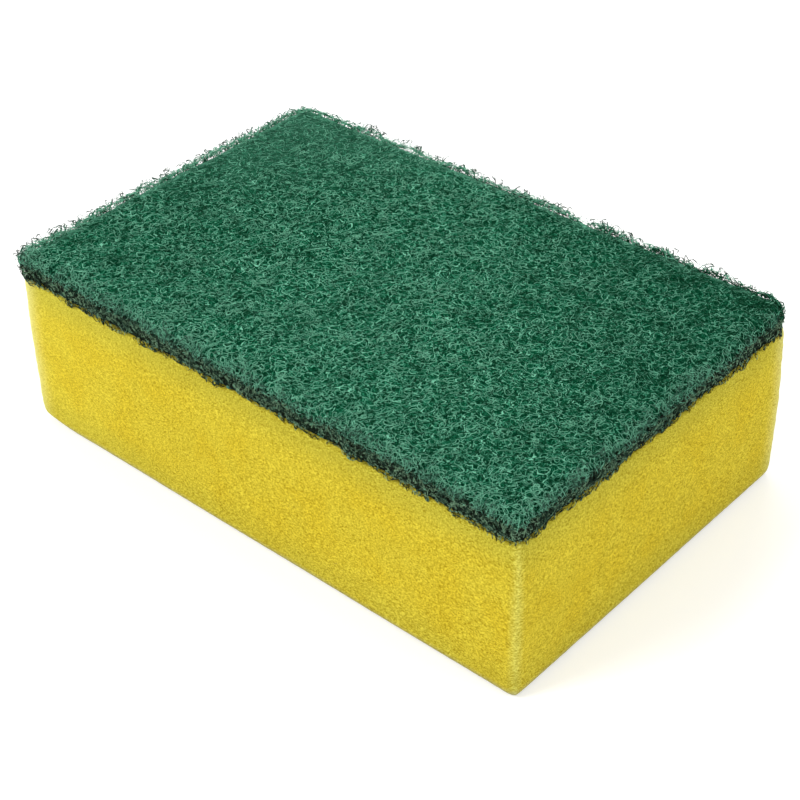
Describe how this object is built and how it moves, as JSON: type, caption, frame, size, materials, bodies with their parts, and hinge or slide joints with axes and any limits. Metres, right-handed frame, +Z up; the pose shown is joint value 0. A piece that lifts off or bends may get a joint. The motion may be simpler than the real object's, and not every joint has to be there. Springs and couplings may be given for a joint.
{
  "type": "cleaning sponge",
  "caption": "Rectangular sponge scourer: a soft open-cell foam block with a coarse non-woven scouring pad bonded flat over its top face, its edges lightly rounded.",
  "frame": {"origin": "middle of the face it rests on, at the bottom centre of its bounding box", "axes": "+X along the length, +Y across the width, +Z up through the thickness, from the foam to the scouring pad"},
  "size_m": [0.11, 0.072, 0.035],
  "materials": {
    "foam": "matt yellow open-cell polyurethane foam with fine even pores",
    "scouring_web": "dark green resin-bonded non-woven fibre web, coarse and slightly glossy strands"
  },
  "bodies": {
    "root": {"foam_block": "foam", "scouring_pad": "scouring_web"}
  },
  "joints": []
}
